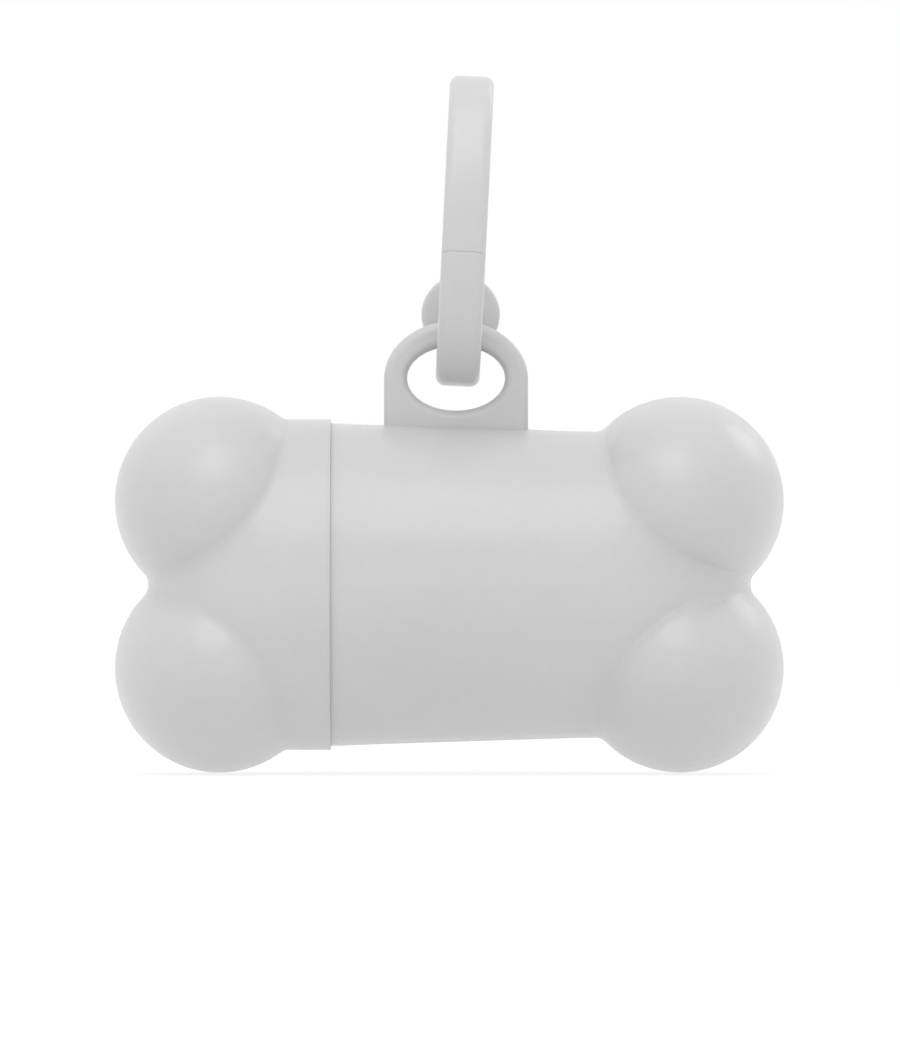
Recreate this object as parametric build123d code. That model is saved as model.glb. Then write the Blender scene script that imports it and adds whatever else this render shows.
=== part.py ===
from build123d import *
import math
import os

# A bone-shaped case for a roll of dog waste bags, hanging from a plastic clip.
#
# The case is two mouldings: a body with the hanging tab, and an end cap that
# pushes onto the body's neck. The roll of bags and its cardboard core lie
# loose inside, and a bag is drawn out through a slot in the back. The clip
# is an oval ring through the tab. The upper part of its front strand is a
# gate that opens inwards.
#
# Frame: +Z up, +X to the right as seen from the front, the front faces -Y.
# The model is built about the middle of the bone's own axis, then moved so
# that the origin is the inside top of the clip, where a leash ring pulls.
# All lengths are in millimetres and all angles in degrees.

# Case, outside
bone_length = 84.9          # over the lobes, left to right
mouth_diameter = 41.0       # body at the seam
barrel_taper = 2.2          # body's diameter, less where its lobes begin than at the seam
cap_step = 1.0              # cap's diameter, more than the body's at the seam
lobe_rise = 2.85            # lobes above the cap's straight part
lobe_overlap = 5.3          # how far the two lobes of one end reach into each other
lobe_swell = 0.2            # lobes' depth, more than the body's diameter where they begin
lobe_setback = 0.95         # from the seam to where the cap's lobes begin
dome_length = 18.5          # rounded end of the barrel between the lobes
dome_stand = 1.1            # dome's tip beyond the place where the two lobes cross
crease_radius = 1.6         # blend where a lobe leaves the barrel
rim_radius = 0.3            # round on the edges of both halves where they meet

# Case, inside
end_wall = 2.0
cap_wall = 2.4
bore_draft = 0.6            # taper of the body's bore, each side
neck_length = 7.5
neck_wall = 1.4
neck_step = 1.28            # neck's outside, in from the body's outside at the seam
neck_clearance = 0.08       # radial, a close sliding fit
socket_end_gap = 0.4        # neck's end to the shoulder in the cap
neck_chamfer = 0.5
key_width = 3.0             # rib that keeps the lobes of both halves in line
key_height = 0.5
key_clearance = 0.15

# Slot that the bags are pulled through, in the back of the body
slot_seam_gap = 3.5         # from the seam to the slot
slot_dome_gap = 1.25        # from the slot to the start of the dome
slot_height = 5.0
slot_edge_radius = 0.6

# Hanging tab on top of the body
tab_width = 18.3
tab_rise = 14.1             # tab's top above the body's side where its lobes begin
tab_crown = 7.4             # height of the tab's rounded top
tab_bar = 3.2               # material above the hole
tab_side = 2.95             # material beside the hole
tab_thickness = 3.7
tab_offset = 0.85           # middle of the tab, right of the bone's middle
tab_edge_radius = 1.1
tab_root = 1.0              # how far the tab reaches into the body's wall
hole_height = 8.2

# Clip
clip_height = 39.4
clip_depth = 27.0
clip_width = 5.6
clip_strand = 4.4           # thickness of the ring, from outside to inside
clip_edge_radius = 1.2
clip_lean = 2.8             # to the right, as it hangs in the tab
clip_shift = 0.5            # along the tab's bar, right of its middle
bar_clearance = 0.7         # under the tab's bar
pivot_rise = 2.2            # axis that the case swings about, above the top of the tab's hole
pad_diameter = 10.0         # flat round pad on the rear strand
pad_thickness = 2.2
pad_height = 9.2            # middle of the pad, above the clip's lowest point
pad_edge_radius = 0.5
gate_seam_height = 16.9     # where the gate's tip meets the nose, above the clip's lowest point
gate_root_angle = 65.0      # place of the gate's root on the ring, above its middle
gate_gap = 0.3
catch_lip = 1.3             # how far the inner half of the gate's tip reaches behind the nose

# Roll of bags
roll_end_room = 13.95       # from the bone's end to the roll's end
roll_play = 3.466           # free height at the roll's ends, where the case is narrowest
roll_clearance = 0.35       # part of that play that is left under the roll's ends
roll_step = 0.5             # step where the film's loose end lies
core_diameter = 12.6
core_wall = 1.1

quarter_handle = 0.5523     # length of a Bezier curve's handles that draw a quarter ellipse of size 1
lobe_seam_turn = 45.0       # puts the seam line of the lobe's surface on the bone's outer corner

# Worked out from the sizes above
waist_diameter = mouth_diameter - barrel_taper
cap_diameter = mouth_diameter + cap_step
bone_height = cap_diameter + 2 * lobe_rise
lobe_diameter = (bone_height + lobe_overlap) / 2
lobe_depth = waist_diameter + lobe_swell
half_length = bone_length / 2
lobe_radius = lobe_diameter / 2
lobe_x = half_length - lobe_radius
lobe_z = bone_height / 2 - lobe_radius
dome_tip = lobe_x + math.sqrt(lobe_radius ** 2 - lobe_z ** 2) + dome_stand
dome_start = dome_tip - dome_length
seam_offset = lobe_x - lobe_radius - lobe_setback
inner_dome_length = dome_length - end_wall
neck_radius = mouth_diameter / 2 - neck_step
neck_end = -seam_offset - neck_length
socket_radius = neck_radius + neck_clearance
mouth_bore = neck_radius - neck_wall
waist_bore = mouth_bore - (dome_start - neck_end) * math.tan(math.radians(bore_draft))
cap_bore = cap_diameter / 2 - cap_wall
slot_start = slot_seam_gap - seam_offset
slot_end = dome_start - slot_dome_gap
slot_length = slot_end - slot_start
slot_offset = (slot_start + slot_end) / 2
slot_rim_depth = (waist_bore + waist_diameter / 2) / 2
tab_top = waist_diameter / 2 + tab_rise
hole_width = tab_width - 2 * tab_side
hole_top = tab_top - tab_bar
hole_z = hole_top - hole_height / 2
pivot_z = hole_top + pivot_rise
clip_x = tab_offset + clip_shift
clip_bottom = hole_top - bar_clearance - clip_strand
clip_middle = clip_bottom + clip_height / 2
ring_half_depth = (clip_depth - clip_strand) / 2
ring_half_height = (clip_height - clip_strand) / 2
root_angle = math.radians(gate_root_angle)
root_y = -ring_half_depth * math.cos(root_angle)
root_z = clip_middle + ring_half_height * math.sin(root_angle)
root_direction = (0, ring_half_depth * math.sin(root_angle), ring_half_height * math.cos(root_angle))
leash_reach = clip_bottom + clip_height - clip_strand - pivot_z
leash_x = clip_x + leash_reach * math.sin(math.radians(clip_lean))
leash_z = pivot_z + leash_reach * math.cos(math.radians(clip_lean))


def dome_radius(radius, x):
    """Radius of a domed end's inside, at x."""
    return radius * math.sqrt(1 - ((x - dome_start) / inner_dome_length) ** 2)


def ring_depth(height):
    """How far the ring's middle line lies from the clip's middle, at a height."""
    return ring_half_depth * math.sqrt(1 - ((height - clip_middle) / ring_half_height) ** 2)


seam_height = clip_bottom + gate_seam_height
gate_length = math.hypot(root_z - seam_height, ring_depth(seam_height) + root_y)
roll_length = bone_length - 2 * roll_end_room
roll_diameter = 2 * dome_radius(min(waist_bore, cap_bore), roll_length / 2) - roll_play
roll_drop = roll_play / 2 - roll_clearance


def domed_bar(start_x, start_radius, end_radius, length):
    """Round bar along X with a taper, closed by an elliptical dome of the given length."""
    tip = dome_start + length
    dome = Bezier(
        (dome_start, end_radius),
        (dome_start + quarter_handle * length, end_radius),
        (tip, quarter_handle * end_radius),
        (tip, 0),
    )
    sides = Polyline((tip, 0), (start_x, 0), (start_x, start_radius), (dome_start, end_radius))
    return revolve(make_face([sides, dome]), Axis.X)


def lobe():
    """Upper swollen lobe of the bone: a ball stretched from front to back."""
    ball = Rot(90, 0, 0) * Rot(0, 0, lobe_seam_turn) * Sphere(lobe_radius)
    return Pos(lobe_x, 0, lobe_z) * scale(ball, by=(1, lobe_depth / lobe_diameter, 1))


def bone_end(start_x, start_radius, end_radius):
    """Solid end of the bone on the right: barrel, dome and two lobes, blended."""
    upper = lobe()
    lower = mirror(upper, Plane.XY)
    pieces = [domed_bar(start_x, start_radius, end_radius, dome_length), upper, lower]
    bone = pieces[0] + pieces[1] + pieces[2]
    creases = new_edges(*pieces, combined=bone)
    bone = fillet(creases, crease_radius)
    return fillet(bone.edges().sort_by(Axis.X)[0], rim_radius)


def hanging_tab():
    """Flat tab with an oval hole, standing on the top of the body."""
    half_width = tab_width / 2
    shoulder = tab_top - tab_crown
    root = waist_diameter / 2 - tab_root
    outline = [
        Polyline((-half_width, shoulder), (-half_width, root), (half_width, root), (half_width, shoulder)),
        EllipticalCenterArc((0, shoulder), half_width, tab_crown, arc_size=180),
    ]
    face = make_face(outline) - Pos(0, hole_z) * Ellipse(hole_width / 2, hole_height / 2)
    plate = extrude(Plane.XZ * face, tab_thickness / 2, both=True)
    long_edges = plate.edges().filter_by(Axis.Y, reverse=True)
    upper_edges = long_edges.filter_by(lambda edge: edge.center().Z > root + tab_root / 2)
    return Pos(tab_offset, 0, 0) * fillet(upper_edges, tab_edge_radius)


def key(width, height):
    """Block along the neck at the back, as wide as asked and standing out by height."""
    reach = neck_radius + height
    depth = neck_wall / 2 + height
    block = Box(neck_length, depth, width, align=(Align.MAX, Align.MAX, Align.CENTER))
    return Pos(-seam_offset, reach, 0) * block


def along_x(radius, length, x_align):
    """Cylinder along X that starts (Align.MIN) or ends (Align.MAX) at the origin."""
    return Cylinder(radius, length, rotation=(0, 90, 0), align=(Align.CENTER, Align.CENTER, x_align))


def case_body():
    """Right part of the case: barrel, bone end, neck, tab and slot."""
    body = bone_end(-seam_offset, mouth_diameter / 2, waist_diameter / 2)
    neck = along_x(neck_radius, neck_length, Align.MAX)
    neck = chamfer(neck.edges().sort_by(Axis.X)[0], neck_chamfer)
    body += Pos(-seam_offset, 0, 0) * neck
    body += key(key_width, key_height)
    body += hanging_tab()
    body -= domed_bar(neck_end, mouth_bore, waist_bore, inner_dome_length)
    slot = extrude(Plane.XZ * SlotOverall(slot_length, slot_height), -bone_height)
    slot = Pos(slot_offset, 0, 0) * slot
    slotted = body - slot
    rim = new_edges(body, slot, combined=slotted).filter_by(lambda edge: edge.center().Y > slot_rim_depth)
    return fillet(rim, slot_edge_radius)


def end_cap():
    """Left part of the case: bone end with a socket for the neck."""
    cap = bone_end(seam_offset, cap_diameter / 2, cap_diameter / 2)
    cap -= domed_bar(seam_offset, cap_bore, cap_bore, inner_dome_length)
    cap -= Pos(seam_offset, 0, 0) * along_x(socket_radius, neck_length + socket_end_gap, Align.MIN)
    cap = Rot(0, 0, 180) * cap
    return cap - key(key_width + 2 * key_clearance, key_height + key_clearance)


def clip_ring():
    """The whole oval clip, upright, before the gate is parted from it."""
    half_depth = clip_depth / 2
    half_height = clip_height / 2
    face = Ellipse(half_depth, half_height) - Ellipse(half_depth - clip_strand, half_height - clip_strand)
    ring = extrude(Plane.YZ * face, clip_width / 2, both=True)
    ring = fillet(ring.edges().filter_by(GeomType.ELLIPSE), clip_edge_radius)
    return Pos(0, 0, clip_middle) * ring


def round_pad():
    """Flat round pad across the rear strand."""
    height = clip_bottom + pad_height
    pad = Cylinder(pad_diameter / 2, pad_thickness, rotation=(90, 0, 0))
    pad = fillet(pad.edges().filter_by(GeomType.CIRCLE), pad_edge_radius)
    return Pos(0, ring_depth(height), height) * pad


def gate_space(growth):
    """Space of the gate about its root: nominal for growth 0, larger all round by growth."""
    behind_root = Plane(origin=(0, root_y, root_z), x_dir=(1, 0, 0), z_dir=root_direction)
    side = 2 * clip_height
    below = behind_root * Box(side, side, side, align=(Align.CENTER, Align.CENTER, Align.MAX))
    below &= Pos(0, 0, clip_middle) * Box(side, side, side, align=(Align.CENTER, Align.MAX, Align.CENTER))
    outer = Pos(0, root_y, root_z) * along_x(gate_length + growth, clip_depth, Align.CENTER)
    lip = Pos(0, root_y, root_z) * along_x(gate_length + catch_lip + growth, clip_depth, Align.CENTER)
    inner_half = Ellipse(ring_half_depth + growth, ring_half_height + growth)
    inner_half = Pos(0, 0, clip_middle) * extrude(Plane.YZ * inner_half, clip_depth / 2, both=True)
    return below & (outer + (lip & inner_half))


def knuckle(growth):
    """Round root of the gate, larger by growth where it is cut from the frame."""
    radius = clip_strand / 2 + growth
    return Pos(0, root_y, root_z) * along_x(radius, clip_width + 2 * growth, Align.CENTER)


def clip_frame():
    """Ring with the gate's space cut out, and the pad on its rear strand."""
    return clip_ring() - gate_space(gate_gap / 2) - knuckle(gate_gap) + round_pad()


def clip_gate():
    """Front arm of the ring from its round root down to the catch at its tip."""
    root = knuckle(0)
    root = fillet(root.edges().filter_by(GeomType.CIRCLE), clip_edge_radius)
    return (clip_ring() & gate_space(-gate_gap / 2)) + root


def roll_outline():
    """End view of the roll: two half circles that leave a step at the film's loose end."""
    full = roll_diameter / 2
    small = full - roll_step / 2
    outline = [
        CenterArc((0, 0), full, -90, 180),
        CenterArc((0, roll_step / 2), small, 90, 180),
        Line((0, -full), (0, roll_step - full)),
    ]
    return make_face(outline)


def bag_roll():
    """Wound film on the core."""
    roll = extrude(Plane.YZ * roll_outline(), roll_length / 2, both=True)
    return Pos(0, 0, -roll_drop) * (roll - along_x(core_diameter / 2, roll_length, Align.CENTER))


def roll_core():
    """Cardboard tube that the film is wound on."""
    bore = core_diameter / 2 - core_wall
    tube = along_x(core_diameter / 2, roll_length, Align.CENTER) - along_x(bore, roll_length, Align.CENTER)
    return Pos(0, 0, -roll_drop) * tube


hang = Pos(-leash_x, 0, -leash_z)
lean = hang * Pos(clip_x, 0, pivot_z) * Rot(0, clip_lean, 0) * Pos(0, 0, -pivot_z)
nodes = {
    "case_body": hang * case_body(),
    "end_cap": hang * end_cap(),
    "clip_frame": lean * clip_frame(),
    "clip_gate": lean * clip_gate(),
    "bag_roll": hang * bag_roll(),
    "roll_core": hang * roll_core(),
}

os.makedirs("parts", exist_ok=True)
for name, solid in nodes.items():
    solid.label = name
    export_step(solid, f"parts/{name}.step")
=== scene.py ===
import bpy
import bmesh
import math
from mathutils import Matrix, Vector


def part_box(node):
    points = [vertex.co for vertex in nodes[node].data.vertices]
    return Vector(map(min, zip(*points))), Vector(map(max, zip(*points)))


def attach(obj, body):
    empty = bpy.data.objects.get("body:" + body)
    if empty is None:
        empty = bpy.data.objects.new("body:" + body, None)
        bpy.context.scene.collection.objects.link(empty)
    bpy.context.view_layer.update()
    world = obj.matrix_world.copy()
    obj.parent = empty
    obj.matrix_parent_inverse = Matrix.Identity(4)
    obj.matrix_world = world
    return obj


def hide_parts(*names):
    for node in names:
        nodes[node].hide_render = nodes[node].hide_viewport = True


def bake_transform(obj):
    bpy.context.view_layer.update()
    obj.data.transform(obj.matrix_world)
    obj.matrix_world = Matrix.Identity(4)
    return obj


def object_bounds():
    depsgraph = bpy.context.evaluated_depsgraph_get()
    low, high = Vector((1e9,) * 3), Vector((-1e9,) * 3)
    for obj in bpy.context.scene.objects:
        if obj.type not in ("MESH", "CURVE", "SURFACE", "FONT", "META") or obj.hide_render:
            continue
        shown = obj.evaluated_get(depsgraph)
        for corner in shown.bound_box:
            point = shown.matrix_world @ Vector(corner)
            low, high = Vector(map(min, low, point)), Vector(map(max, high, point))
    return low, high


# A bone-shaped case for a roll of dog waste bags, hanging from its clip.
# Everything is in metres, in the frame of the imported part: the origin is the
# inside top of the clip's eye, and the front faces -Y.

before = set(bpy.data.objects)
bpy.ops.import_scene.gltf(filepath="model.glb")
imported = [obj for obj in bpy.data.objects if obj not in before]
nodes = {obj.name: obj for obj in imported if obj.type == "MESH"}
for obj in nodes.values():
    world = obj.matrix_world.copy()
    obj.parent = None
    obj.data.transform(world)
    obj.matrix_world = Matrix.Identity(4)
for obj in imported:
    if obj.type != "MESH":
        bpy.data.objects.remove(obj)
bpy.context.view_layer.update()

# The photograph, in its own pixels
PHOTO_WIDTH, PHOTO_HEIGHT = 900, 1055
BONE_LEFT, BONE_RIGHT = 115.0, 783.7
BONE_AXIS_ROW = 584.7
CAMERA_DISTANCE = 2.0
SENSOR = 36.0

# The clip, in its own upright frame about the origin
CLIP_LEAN = math.radians(2.8)
CLIP_MIDDLE = -0.0153
STRAND_HALF_DEPTH, STRAND_HALF_HEIGHT = 0.0113, 0.0175   # middle line of the oval
STRAND_THICKNESS, STRAND_WIDTH, STRAND_EDGE = 0.0044, 0.0056, 0.0012
ARM_ROOT = (-0.004776, 0.00056)      # y, z of the bending root
ARM_TIP_HEIGHT = -0.0190             # where the arm's tip meets the nose
ARM_START = -0.0010                  # y of the arm's flush end, at the crown
CATCH_LIP = 0.0013
CATCH_SWEEP = math.radians(-130), math.radians(-81)   # ends of the catch's arcs, about the root
SPACE_FRONT, SPACE_TOP, SPACE_BOTTOM = -0.024, 0.008, -0.016   # block that the arm is cut with
SPACE_HALF_WIDTH = 0.006
CATCH_BOTTOM = -0.0201               # z where the block ends behind the catch
ARM_SEAM = 0.00004                   # gap between the arm and the oval
EASED_EDGE, EASED_BELOW = 0.00007, -0.008   # rounds of the catch's edges, under this height
PAD_RADIUS, PAD_THICKNESS, PAD_EDGE = 0.0050, 0.0022, 0.0005
PAD_HEIGHT = -0.0258

# The seam, where the cap's rim meets the body's mouth
RIM_RADIUS, MOUTH_RADIUS = 0.0210, 0.0205
MOUTH_TAPER = 0.0326     # fall of the body's radius along the case
SEAM_RING_DEPTH, SEAM_RING_WIDTH = 0.00032, 0.0007
SEAM_ROUND = 0.0003      # of the two halves' own edges, which the rings fill
SEAM_CORNER = 0.00002    # of each ring's crisp edge
SEAM_LINE = 0.00001      # from the seam's middle to each ring
SEAM_RING_SINK = 0.00001  # steps by which a ring stays under the half's own surface

# The roll of bags
FILM_PITCH = 0.00026
FILM_SHARE = 0.86        # of the pitch that the film fills
SIDEWAYS_WANDER = 0.0007
WANDER_RATE = 42.0       # of the noise that moves the turns, for each metre of film
CRINKLE = 0.00016
FOLD_LINE = 0.0005       # width of the line at a fold
BOARD_SEAM_RATE = 38.0   # turns of the core's seam in a metre
BOARD_SEAM_SHARE = 0.02  # of a turn, the width of that seam

cap_low, cap_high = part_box("end_cap")
body_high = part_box("case_body")[1]
bone_axis = Vector(((cap_low.x + body_high.x) / 2, 0, (cap_low.z + cap_high.z) / 2))


def place_camera():
    """Level, straight at the front of the case, from far away."""
    metres_per_pixel = (body_high.x - cap_low.x) / (BONE_RIGHT - BONE_LEFT)
    across = (PHOTO_WIDTH / 2 - (BONE_LEFT + BONE_RIGHT) / 2) * metres_per_pixel
    up = (BONE_AXIS_ROW - PHOTO_HEIGHT / 2) * metres_per_pixel
    camera = bpy.data.objects.new("camera", bpy.data.cameras.new("camera"))
    bpy.context.scene.collection.objects.link(camera)
    camera.data.sensor_width = SENSOR
    camera.data.lens = SENSOR * CAMERA_DISTANCE / (PHOTO_HEIGHT * metres_per_pixel)
    camera.location = bone_axis + Vector((across, -CAMERA_DISTANCE, up))
    camera.rotation_euler = (math.pi / 2, 0, 0)
    bpy.context.scene.camera = camera


def node_adder(tree):
    """Gives a function that adds a node to the tree, sets its options and sets or wires its inputs."""
    def add(kind, inputs=None, **settings):
        node = tree.nodes.new(kind)
        for key, value in settings.items():
            setattr(node, key, value)
        for socket, value in (inputs or {}).items():
            if isinstance(value, bpy.types.NodeSocket):
                tree.links.new(value, node.inputs[socket])
            else:
                node.inputs[socket].default_value = value
        return node
    return add


# Materials

def new_material(name):
    """Material with its Principled shader, and the function that adds nodes to it."""
    material = bpy.data.materials.new(name)
    material.use_nodes = True
    tree = material.node_tree
    return material, tree, tree.nodes["Principled BSDF"], node_adder(tree)


def moulded_plastic(name, tone, roughness):
    """Satin, slightly milky moulded plastic with a fine eroded grain and faint rub marks."""
    material, tree, shader, add = new_material(name)
    place = add("ShaderNodeTexCoord").outputs["Object"]
    cloud = add("ShaderNodeTexNoise", {"Vector": place, "Scale": 55.0, "Detail": 3.0, "Roughness": 0.5})
    speck = add("ShaderNodeTexNoise", {"Vector": place, "Scale": 900.0, "Detail": 2.0, "Roughness": 0.6})
    tint = add("ShaderNodeMapRange", {"Value": cloud.outputs["Fac"], "From Min": 0.3, "From Max": 0.7,
                                      "To Min": 0.98, "To Max": 1.02})
    fine = add("ShaderNodeMapRange", {"Value": speck.outputs["Fac"], "From Min": 0.3, "From Max": 0.7,
                                      "To Min": 0.99, "To Max": 1.01})
    both = add("ShaderNodeMath", {0: tint.outputs["Result"], 1: fine.outputs["Result"]}, operation="MULTIPLY")
    base = add("ShaderNodeVectorMath", {0: tone, "Scale": both.outputs[0]}, operation="SCALE")
    tree.links.new(base.outputs["Vector"], shader.inputs["Base Color"])
    streak_place = add("ShaderNodeMapping", {"Vector": place, "Scale": (1.0, 9.0, 9.0),
                                             "Rotation": (0.3, 0.2, 0.5)})
    streak = add("ShaderNodeTexNoise", {"Vector": streak_place.outputs["Vector"], "Scale": 140.0,
                                        "Detail": 5.0, "Roughness": 0.7})
    rub = add("ShaderNodeMapRange", {"Value": streak.outputs["Fac"], "From Min": 0.35, "From Max": 0.75,
                                     "To Min": roughness + 0.05, "To Max": roughness - 0.06})
    tree.links.new(rub.outputs["Result"], shader.inputs["Roughness"])
    grain = add("ShaderNodeTexNoise", {"Vector": place, "Scale": 2600.0, "Detail": 3.0, "Roughness": 0.65})
    bump = add("ShaderNodeBump", {"Height": grain.outputs["Fac"], "Strength": 0.25, "Distance": 0.00004})
    tree.links.new(bump.outputs["Normal"], shader.inputs["Normal"])
    shader.inputs["IOR"].default_value = 1.49
    shader.inputs["Coat Weight"].default_value = 0.5
    shader.inputs["Coat Roughness"].default_value = 0.22
    shader.inputs["Coat IOR"].default_value = 1.5
    shader.inputs["Subsurface Weight"].default_value = 0.12
    shader.inputs["Subsurface Radius"].default_value = (1.0, 1.0, 1.0)
    shader.inputs["Subsurface Scale"].default_value = 0.0012
    return material


def wound_film(half_length):
    """Dark glossy film of the folded bags: fold lines round the roll, wrinkles and tight gloss."""
    material, tree, shader, add = new_material("bag_film")
    place = add("ShaderNodeTexCoord").outputs["Object"]
    cloud = add("ShaderNodeTexNoise", {"Vector": place, "Scale": 120.0, "Detail": 4.0, "Roughness": 0.6})
    tone = add("ShaderNodeValToRGB", {"Fac": cloud.outputs["Fac"]})
    tone.color_ramp.elements[0].color = (0.040, 0.041, 0.046, 1)
    tone.color_ramp.elements[1].color = (0.105, 0.108, 0.116, 1)
    tree.links.new(tone.outputs["Color"], shader.inputs["Base Color"])
    wrinkle_place = add("ShaderNodeMapping", {"Vector": place, "Scale": (1.0, 2.6, 2.6)})
    wrinkle = add("ShaderNodeTexNoise", {"Vector": wrinkle_place.outputs["Vector"], "Scale": 190.0,
                                         "Detail": 4.0, "Roughness": 0.55, "Distortion": 0.7})
    along = add("ShaderNodeSeparateXYZ", {"Vector": place}).outputs["X"]
    fold_phase = add("ShaderNodeMath", {0: along, 1: half_length / 2}, operation="PINGPONG")
    fold = add("ShaderNodeMapRange", {"Value": fold_phase.outputs[0], "From Min": 0.0, "From Max": FOLD_LINE,
                                      "To Min": 1.0, "To Max": 0.0})
    height = add("ShaderNodeMath", {0: fold.outputs["Result"], 1: 0.6, 2: wrinkle.outputs["Fac"]},
                 operation="MULTIPLY_ADD")
    bump = add("ShaderNodeBump", {"Height": height.outputs[0], "Strength": 0.9, "Distance": 0.0009})
    tree.links.new(bump.outputs["Normal"], shader.inputs["Normal"])
    shine = add("ShaderNodeMapRange", {"Value": cloud.outputs["Fac"], "To Min": 0.24, "To Max": 0.42})
    tree.links.new(shine.outputs["Result"], shader.inputs["Roughness"])
    return material


def core_board(centre):
    """Uncoated brown board with fibres and the spiral seam of a wound tube."""
    material, tree, shader, add = new_material("core_board")
    place = add("ShaderNodeTexCoord").outputs["Object"]
    fibre_place = add("ShaderNodeMapping", {"Vector": place, "Scale": (1.0, 4.0, 4.0)})
    fibre = add("ShaderNodeTexNoise", {"Vector": fibre_place.outputs["Vector"], "Scale": 900.0, "Detail": 6.0,
                                       "Roughness": 0.7})
    tone = add("ShaderNodeValToRGB", {"Fac": fibre.outputs["Fac"]})
    tone.color_ramp.elements[0].color = (0.30, 0.21, 0.13, 1)
    tone.color_ramp.elements[1].color = (0.52, 0.40, 0.28, 1)
    centred = add("ShaderNodeMapping", {"Vector": place, "Location": (0, 0, -centre.z)})
    axes = add("ShaderNodeSeparateXYZ", {"Vector": centred.outputs["Vector"]})
    turn = add("ShaderNodeMath", {0: axes.outputs["Z"], 1: axes.outputs["Y"]}, operation="ARCTAN2")
    share = add("ShaderNodeMath", {0: turn.outputs[0], 1: 2 * math.pi}, operation="DIVIDE")
    along = add("ShaderNodeMath", {0: axes.outputs["X"], 1: BOARD_SEAM_RATE, 2: share.outputs[0]},
                operation="MULTIPLY_ADD")
    phase = add("ShaderNodeMath", {0: along.outputs[0], 1: 1.0}, operation="FLOORED_MODULO")
    seam = add("ShaderNodeMath", {0: phase.outputs[0], 1: BOARD_SEAM_SHARE}, operation="LESS_THAN")
    base = add("ShaderNodeMix", {0: seam.outputs[0], 6: tone.outputs["Color"], 7: (0.20, 0.14, 0.09, 1)},
               data_type="RGBA")
    tree.links.new(base.outputs[2], shader.inputs["Base Color"])
    bump = add("ShaderNodeBump", {"Height": fibre.outputs["Fac"], "Strength": 0.4, "Distance": 0.00008})
    tree.links.new(bump.outputs["Normal"], shader.inputs["Normal"])
    shader.inputs["Roughness"].default_value = 0.85
    return material


# Pieces

def start_tree(name, sizes):
    """Geometry Nodes tree with a named input for each size, and the function that adds nodes to it."""
    tree = bpy.data.node_groups.new(name, "GeometryNodeTree")
    tree.interface.new_socket("Geometry", in_out="OUTPUT", socket_type="NodeSocketGeometry")
    for label, value in sizes.items():
        kind = "NodeSocketInt" if isinstance(value, int) else "NodeSocketFloat"
        tree.interface.new_socket(label, in_out="INPUT", socket_type=kind)
    return tree, tree.nodes.new("NodeGroupInput").outputs, node_adder(tree)


def end_tree(add, shape, finish):
    """Ends a tree in Realize Instances and Set Material."""
    whole = add("GeometryNodeRealizeInstances", {"Geometry": shape})
    dressed = add("GeometryNodeSetMaterial", {"Geometry": whole.outputs[0], "Material": finish})
    add("NodeGroupOutput", {0: dressed.outputs[0]})


def make_plain(piece):
    """Turns what a piece's modifiers make into its plain mesh."""
    bpy.context.view_layer.update()
    evaluated = piece.evaluated_get(bpy.context.evaluated_depsgraph_get())
    mesh = bpy.data.meshes.new_from_object(evaluated)
    piece.modifiers.clear()
    piece.data = mesh


def link_piece(name, mesh):
    piece = bpy.data.objects.new(name, mesh)
    bpy.context.scene.collection.objects.link(piece)
    return piece


def grow_piece(name, tree, sizes):
    """Plain piece that a tree makes from its sizes."""
    piece = link_piece(name, bpy.data.meshes.new(name))
    modifier = piece.modifiers.new("shape", "NODES")
    modifier.node_group = tree
    for item in tree.interface.items_tree:
        if item.in_out == "INPUT":
            modifier[item.identifier] = sizes[item.name]
    make_plain(piece)
    return piece


def oval_strand(finish):
    """The clip's whole oval, upright: a rounded strip carried round two matching ellipses."""
    sizes = {"Half depth": STRAND_HALF_DEPTH, "Half height": STRAND_HALF_HEIGHT, "Middle": CLIP_MIDDLE,
             "Thickness": STRAND_THICKNESS, "Width": STRAND_WIDTH, "Edge radius": STRAND_EDGE,
             "Steps round": 180, "Steps on edge": 7}
    tree, given, add = start_tree("oval_strand", sizes)
    strip = add("GeometryNodeCurvePrimitiveQuadrilateral",
                {"Width": given["Thickness"], "Height": given["Width"]}, mode="RECTANGLE")
    rounded = add("GeometryNodeFilletCurve", {"Curve": strip.outputs[0], "Count": given["Steps on edge"],
                                              "Radius": given["Edge radius"]}, mode="POLY")
    line = add("GeometryNodeCurvePrimitiveLine", {"End": (0.0, 0.0, 2 * math.pi)})
    points = add("ShaderNodeMath", {0: given["Steps round"], 1: 1.0}, operation="ADD")
    steps = add("GeometryNodeResampleCurve", {"Curve": line.outputs[0], "Count": points.outputs[0]})
    straight = add("GeometryNodeCurveToMesh", {"Curve": steps.outputs[0],
                                               "Profile Curve": rounded.outputs[0]})
    spot = add("ShaderNodeSeparateXYZ", {"Vector": add("GeometryNodeInputPosition").outputs[0]})
    turn = spot.outputs["Z"]
    reach = {}
    for axis, size, wave in (("Y", "Half depth", "COSINE"), ("Z", "Half height", "SINE")):
        radius = add("ShaderNodeMath", {0: given[size], 1: spot.outputs["X"]}, operation="ADD")
        direction = add("ShaderNodeMath", {0: turn}, operation=wave)
        reach[axis] = add("ShaderNodeMath", {0: radius.outputs[0], 1: direction.outputs[0]},
                          operation="MULTIPLY")
    raised = add("ShaderNodeMath", {0: reach["Z"].outputs[0], 1: given["Middle"]}, operation="ADD")
    target = add("ShaderNodeCombineXYZ", {"X": spot.outputs["Y"], "Y": reach["Y"].outputs[0],
                                          "Z": raised.outputs[0]})
    bent = add("GeometryNodeSetPosition", {"Geometry": straight.outputs[0], "Position": target.outputs[0]})
    closed = add("GeometryNodeMergeByDistance", {"Geometry": bent.outputs[0], "Distance": 1e-7})
    end_tree(add, closed.outputs[0], finish)
    return grow_piece("oval_strand", tree, sizes)


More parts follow.
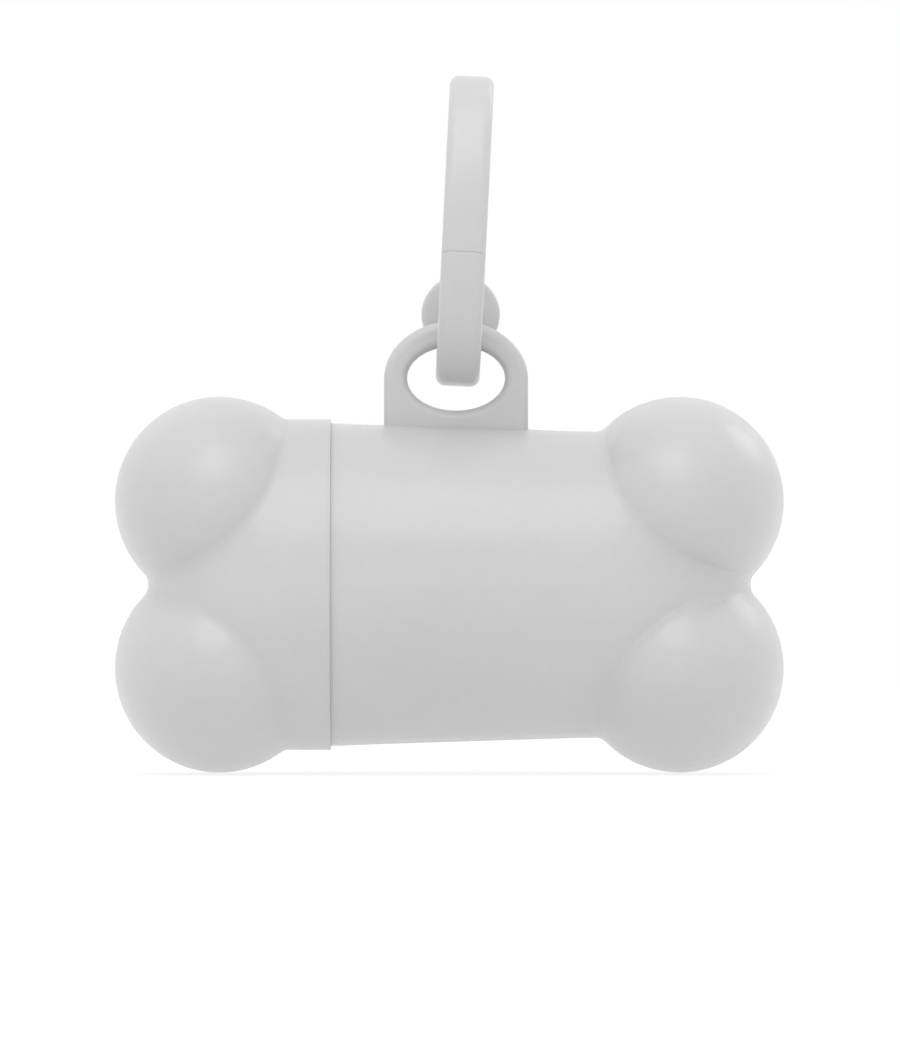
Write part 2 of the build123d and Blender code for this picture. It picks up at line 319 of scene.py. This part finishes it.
def face_outwards(mesh):
    shape = bmesh.new()
    shape.from_mesh(mesh)
    bmesh.ops.recalc_face_normals(shape, faces=shape.faces)
    shape.to_mesh(mesh)
    shape.free()


def step_angle(radius, growth):
    """Angle on the strand's middle line, down from its foremost point, at a distance from the root."""
    low, high = 0.0, math.pi / 4
    for _ in range(40):
        middle = (low + high) / 2
        y, z = step_point(middle, growth)
        if math.hypot(y - ARM_ROOT[0], z - ARM_ROOT[1]) < radius:
            low = middle
        else:
            high = middle
    return low


def step_point(angle, growth):
    return (-(STRAND_HALF_DEPTH + growth) * math.cos(angle),
            CLIP_MIDDLE - (STRAND_HALF_HEIGHT + growth) * math.sin(angle))


def arm_space(growth):
    """Block that parts the arm from the oval: flat at the crown, with a stepped catch about the root."""
    drop = (ARM_TIP_HEIGHT - CLIP_MIDDLE) / STRAND_HALF_HEIGHT
    tip_y = -STRAND_HALF_DEPTH * math.sqrt(1 - drop ** 2)
    length = math.hypot(tip_y - ARM_ROOT[0], ARM_TIP_HEIGHT - ARM_ROOT[1])
    outer, inner = length + growth, length + CATCH_LIP + growth
    first, last = step_angle(outer, growth), step_angle(inner, growth)
    slices = 6

    def arc(radius, start, end, steps=20):
        turns = [start + (end - start) * i / steps for i in range(steps + 1)]
        return [(ARM_ROOT[0] + radius * math.cos(a), ARM_ROOT[1] + radius * math.sin(a)) for a in turns]

    def bearing(point):
        return math.atan2(point[1] - ARM_ROOT[1], point[0] - ARM_ROOT[0])

    outline = [(ARM_START, SPACE_TOP), (SPACE_FRONT, SPACE_TOP), (SPACE_FRONT, SPACE_BOTTOM)]
    outline += arc(outer, CATCH_SWEEP[0], bearing(step_point(first, growth)))
    outline += [step_point(first + (last - first) * i / slices, growth) for i in range(1, slices)]
    outline += arc(inner, bearing(step_point(last, growth)), CATCH_SWEEP[1])
    outline += [(ARM_START, CATCH_BOTTOM)]
    count = len(outline)
    corners = [(x, y, z) for x in (-SPACE_HALF_WIDTH, SPACE_HALF_WIDTH) for y, z in outline]
    sides = [(i, (i + 1) % count, count + (i + 1) % count, count + i) for i in range(count)]
    mesh = bpy.data.meshes.new("arm_space")
    mesh.from_pydata(corners, [], [tuple(range(count)), tuple(range(count, 2 * count))] + sides)
    face_outwards(mesh)
    return link_piece("arm_space", mesh)


def turned(name, profile, axis, centre, closed=False):
    """Shape turned about an axis through centre from (radius, distance along the axis) points."""
    around, count = 128, len(profile)
    side = Vector((0, 0, 1))
    other = axis.cross(side)
    corners = []
    for radius, along in profile:
        for i in range(around):
            turn = 2 * math.pi * i / around
            corners.append(centre + axis * along + (side * math.cos(turn) + other * math.sin(turn)) * radius)
    faces = []
    for ring in range(count if closed else count - 1):
        near, far = ring * around, (ring + 1) % count * around
        for i in range(around):
            after = (i + 1) % around
            faces.append((near + i, near + after, far + after, far + i))
    if not closed:
        faces += [tuple(range(around)), tuple(range((count - 1) * around, count * around))]
    mesh = bpy.data.meshes.new(name)
    mesh.from_pydata(corners, [], faces)
    face_outwards(mesh)
    return link_piece(name, mesh)


def round_pad():
    """Flat round pad with rounded rims, across the rear strand."""
    drop = (PAD_HEIGHT - CLIP_MIDDLE) / STRAND_HALF_HEIGHT
    centre = Vector((0, STRAND_HALF_DEPTH * math.sqrt(1 - drop ** 2), PAD_HEIGHT))
    half, steps = PAD_THICKNESS / 2, 6
    rim = [(PAD_RADIUS - PAD_EDGE * (1 - math.sin(a)), half - PAD_EDGE * (1 - math.cos(a)))
           for a in (math.pi / 2 * i / steps for i in range(steps + 1))]
    return turned("round_pad", rim + [(r, -y) for r, y in reversed(rim)], Vector((0, 1, 0)), centre)


def combine(piece, tool, operation):
    """Joins, cuts or crosses a piece with a tool shape."""
    modifier = piece.modifiers.new("combine", "BOOLEAN")
    modifier.operation = operation
    modifier.solver = "EXACT"
    modifier.object = tool
    make_plain(piece)
    bpy.data.objects.remove(tool)


def ease_edges(piece):
    """Rounds the catch's sharp edges a little, and shades the rest smooth."""
    shape = bmesh.new()
    shape.from_mesh(piece.data)
    weight = shape.edges.layers.float.new("bevel_weight_edge")
    for edge in shape.edges:
        if len(edge.link_faces) == 2 and max(v.co.z for v in edge.verts) < EASED_BELOW:
            edge[weight] = float(edge.calc_face_angle() > math.radians(50))
    shape.to_mesh(piece.data)
    shape.free()
    bevel = piece.modifiers.new("ease", "BEVEL")
    bevel.limit_method = "WEIGHT"
    bevel.width = EASED_EDGE
    bevel.segments = 2
    make_plain(piece)
    piece.data.polygons.foreach_set("use_smooth", [True] * len(piece.data.polygons))
    piece.data.set_sharp_from_angle(angle=math.radians(35))


def make_clip(finish):
    """The clip in two pieces that meet flush: the oval with its nose and pad, and the front arm, fixed in its
    closed place.
    """
    oval = oval_strand(finish)
    face_outwards(oval.data)
    arm = link_piece("clip_arm", oval.data.copy())
    oval.name = "clip_oval"
    combine(arm, arm_space(-ARM_SEAM / 2), "INTERSECT")
    combine(oval, arm_space(ARM_SEAM / 2), "DIFFERENCE")
    combine(oval, round_pad(), "UNION")
    for piece in (arm, oval):
        ease_edges(piece)
        piece.data.transform(Matrix.Rotation(CLIP_LEAN, 4, "Y"))
        piece.data.materials.clear()
        piece.data.materials.append(finish)
    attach(oval, "clip")
    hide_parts("clip_frame")
    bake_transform(arm)
    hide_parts("clip_gate")


def seam_ring(name, radius, taper, side, finish):
    """Crisp outer edge of one half at the seam, on the left (side -1) or the right (side 1) of it."""
    top = radius - 2 * SEAM_RING_SINK
    profile = [(radius - SEAM_RING_DEPTH, SEAM_LINE), (top - SEAM_CORNER, SEAM_LINE),
               (top, SEAM_LINE + SEAM_CORNER), (radius - SEAM_RING_SINK - taper * SEAM_ROUND, SEAM_ROUND),
               (top - 2 * SEAM_RING_SINK - taper * SEAM_RING_WIDTH, SEAM_RING_WIDTH),
               (radius - SEAM_RING_DEPTH, SEAM_RING_WIDTH)]
    ring = turned(name, [(r, side * x) for r, x in profile], Vector((1, 0, 0)),
                  Vector((cap_high.x, 0, bone_axis.z)), closed=True)
    ring.data.materials.append(finish)
    ring.data.polygons.foreach_set("use_smooth", [True] * len(ring.data.polygons))
    ring.data.set_sharp_from_angle(angle=math.radians(30))
    return ring


def make_seam(finish):
    """The edges of the body's mouth and the cap's rim, which close on each other in a fine line."""
    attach(seam_ring("mouth_edge", MOUTH_RADIUS, MOUTH_TAPER, 1, finish), "case")
    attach(seam_ring("rim_edge", RIM_RADIUS, 0.0, -1, finish), "cap")


def make_roll(finish):
    """The bags: one long folded film wound in a spiral, its turns a little out of line at the ends."""
    low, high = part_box("bag_roll")
    outside = (high.z - low.z) / 2
    inside = (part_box("roll_core")[1].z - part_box("roll_core")[0].z) / 2
    length = high.x - low.x
    thickness = FILM_PITCH * FILM_SHARE
    turns = round((outside - inside) / FILM_PITCH)
    sizes = {"Inside radius": inside + FILM_PITCH / 2, "Outside radius": outside - CRINKLE - thickness / 2,
             "Turns": float(turns), "Steps a turn": 54, "Thickness": thickness,
             "Width": length - 1.2 * SIDEWAYS_WANDER, "Wander": SIDEWAYS_WANDER, "Crinkle": CRINKLE,
             "Steps across": 16}
    tree, given, add = start_tree("wound_film", sizes)
    spiral = add("GeometryNodeCurveSpiral", {"Resolution": given["Steps a turn"], "Rotations": given["Turns"],
                                             "Start Radius": given["Inside radius"],
                                             "End Radius": given["Outside radius"], "Height": 0.0})
    reeled = add("GeometryNodeSplineParameter").outputs["Length"]
    marked = add("GeometryNodeStoreNamedAttribute", {"Geometry": spiral.outputs[0], "Name": "reeled",
                                                     "Value": reeled}, data_type="FLOAT", domain="POINT")
    edge = add("GeometryNodeCurvePrimitiveQuadrilateral",
               {"Width": given["Thickness"], "Height": given["Width"]}, mode="RECTANGLE")
    divided = add("GeometryNodeSubdivideCurve", {"Curve": edge.outputs[0], "Cuts": given["Steps across"]})
    film = add("GeometryNodeCurveToMesh", {"Curve": marked.outputs[0], "Profile Curve": divided.outputs[0],
                                           "Fill Caps": True})
    place = add("GeometryNodeInputPosition").outputs[0]
    mark = add("GeometryNodeInputNamedAttribute", {"Name": "reeled"}, data_type="FLOAT")
    far = add("ShaderNodeMath", {0: mark.outputs["Attribute"], 1: WANDER_RATE}, operation="MULTIPLY")
    drift = add("ShaderNodeTexNoise", {"W": far.outputs[0], "Scale": 1.0, "Detail": 2.0},
                noise_dimensions="1D")
    sideways = add("ShaderNodeMath", {0: drift.outputs["Fac"], 1: 0.5}, operation="SUBTRACT")
    shift = add("ShaderNodeMath", {0: sideways.outputs[0], 1: given["Wander"]}, operation="MULTIPLY")
    wave_place = add("ShaderNodeVectorMath", {0: place, 1: (1.0, 1.0, 0.45)}, operation="MULTIPLY")
    wave = add("ShaderNodeTexNoise", {"Vector": wave_place.outputs[0], "Scale": 150.0, "Detail": 2.0})
    lift = add("ShaderNodeMapRange", {"Value": wave.outputs["Fac"], "From Min": 0.25, "From Max": 0.75,
                                      "To Min": -1.0, "To Max": 1.0})
    flat = add("ShaderNodeVectorMath", {0: place, 1: (1.0, 1.0, 0.0)}, operation="MULTIPLY")
    outwards = add("ShaderNodeVectorMath", {0: flat.outputs[0]}, operation="NORMALIZE")
    amount = add("ShaderNodeMath", {0: lift.outputs["Result"], 1: given["Crinkle"]}, operation="MULTIPLY")
    radial = add("ShaderNodeVectorMath", {0: outwards.outputs[0], "Scale": amount.outputs[0]},
                 operation="SCALE")
    slide = add("ShaderNodeCombineXYZ", {"Z": shift.outputs[0]})
    move = add("ShaderNodeVectorMath", {0: radial.outputs[0], 1: slide.outputs[0]}, operation="ADD")
    wavy = add("GeometryNodeSetPosition", {"Geometry": film.outputs[0], "Offset": move.outputs[0]})
    end_tree(add, wavy.outputs[0], finish)
    roll = grow_piece("film_roll", tree, sizes)
    upright = Matrix(((0, 0, -1, 0), (0, -1, 0, 0), (-1, 0, 0, (low.z + high.z) / 2), (0, 0, 0, 1)))
    roll.data.transform(Matrix.Translation(((low.x + high.x) / 2, 0, 0)) @ upright)
    face_outwards(roll.data)
    roll.data.polygons.foreach_set("use_smooth", [True] * len(roll.data.polygons))
    roll.data.set_sharp_from_angle(angle=math.radians(40))
    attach(roll, "roll")
    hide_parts("bag_roll")


def dress_nodes(finishes):
    """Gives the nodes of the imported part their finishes."""
    for name, finish in finishes.items():
        nodes[name].data.materials.clear()
        nodes[name].data.materials.append(finish)


# Stage

def seen_ray(add):
    """1 for the rays by which the camera, a reflection or clear plastic shows the background."""
    path = add("ShaderNodeLightPath")
    some = add("ShaderNodeMath", {0: path.outputs["Is Camera Ray"], 1: path.outputs["Is Glossy Ray"]},
               operation="MAXIMUM")
    every = add("ShaderNodeMath", {0: some.outputs[0], 1: path.outputs["Is Transmission Ray"]},
                operation="MAXIMUM")
    return every.outputs[0]


def lay_floor():
    """White light table just under the case, which keeps a soft shadow."""
    size, drop = 8.0, 0.0002
    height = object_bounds()[0].z - drop
    mesh = bpy.data.meshes.new("floor")
    corners = [(-size, -size), (size, -size), (size, size), (-size, size)]
    mesh.from_pydata([(x, y, height) for x, y in corners], [], [(0, 1, 2, 3)])
    floor = link_piece("floor", mesh)
    material, tree, shader, add = new_material("light_table")
    tree.nodes.remove(shader)
    seen = seen_ray(add)
    tone = add("ShaderNodeMapRange", {"Value": seen, "To Min": 0.25, "To Max": 0.34})
    paper = add("ShaderNodeBsdfDiffuse", {"Color": tone.outputs["Result"]})
    strength = add("ShaderNodeMapRange", {"Value": seen, "To Min": 0.65, "To Max": 0.72})
    glow = add("ShaderNodeEmission", {"Color": (1, 1, 1, 1), "Strength": strength.outputs["Result"]})
    both = add("ShaderNodeAddShader", {0: paper.outputs[0], 1: glow.outputs[0]})
    tree.links.new(both.outputs[0], tree.nodes["Material Output"].inputs["Surface"])
    floor.data.materials.append(material)


def light_studio():
    """Even white surround, brighter overhead, a soft lamp above the front and one behind on the right."""
    world = bpy.data.worlds.new("studio")
    bpy.context.scene.world = world
    world.use_nodes = True
    tree = world.node_tree
    tree.nodes.clear()
    add = node_adder(tree)
    place = add("ShaderNodeTexCoord").outputs["Generated"]
    height = add("ShaderNodeSeparateXYZ", {"Vector": place}).outputs["Z"]
    ramp = add("ShaderNodeValToRGB", {"Fac": height})
    ramp.color_ramp.elements[0].color = (0.84, 0.84, 0.84, 1)
    ramp.color_ramp.elements[1].color = (0.92, 0.92, 0.92, 1)
    around = add("ShaderNodeBackground", {"Color": ramp.outputs["Color"]})
    white = add("ShaderNodeBackground", {"Color": (1, 1, 1, 1)})
    mix = add("ShaderNodeMixShader", {0: seen_ray(add), 1: around.outputs[0], 2: white.outputs[0]})
    add("ShaderNodeOutputWorld", {"Surface": mix.outputs[0]})
    lamps = {   # direction from the case, size and watts
        "lamp_above": ((-0.15, -0.62, 1.0), 0.9, 2.3),
        "lamp_behind": ((0.58, 0.65, 0.50), 0.40, 0.36),
    }
    for name, (direction, size, watts) in lamps.items():
        light = bpy.data.lights.new(name, "AREA")
        light.shape = "DISK"
        light.size = size
        light.energy = watts
        lamp = link_piece(name, light)
        lamp.location = bone_axis + Vector(direction).normalized()
        lamp.rotation_euler = Vector(direction).to_track_quat("Z", "Y").to_euler()
        lamp.visible_camera = False


core_low, core_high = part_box("roll_core")
case_plastic = moulded_plastic("case_plastic", (0.594, 0.594, 0.594), 0.40)
# The clip is moulded in the same plastic as the case; its lighter tone is painted light, making up for the
# shade the clip sits in.
clip_plastic = moulded_plastic("clip_plastic", (0.612, 0.612, 0.612), 0.40)
bag_film = wound_film((core_high.x - core_low.x) / 2)
board = core_board((core_low + core_high) / 2)
place_camera()
make_clip(clip_plastic)
make_seam(case_plastic)
make_roll(bag_film)
dress_nodes({"case_body": case_plastic, "end_cap": case_plastic, "clip_frame": clip_plastic,
             "clip_gate": clip_plastic, "bag_roll": bag_film, "roll_core": board})
lay_floor()
light_studio()
bpy.context.scene.view_settings.view_transform = "Standard"
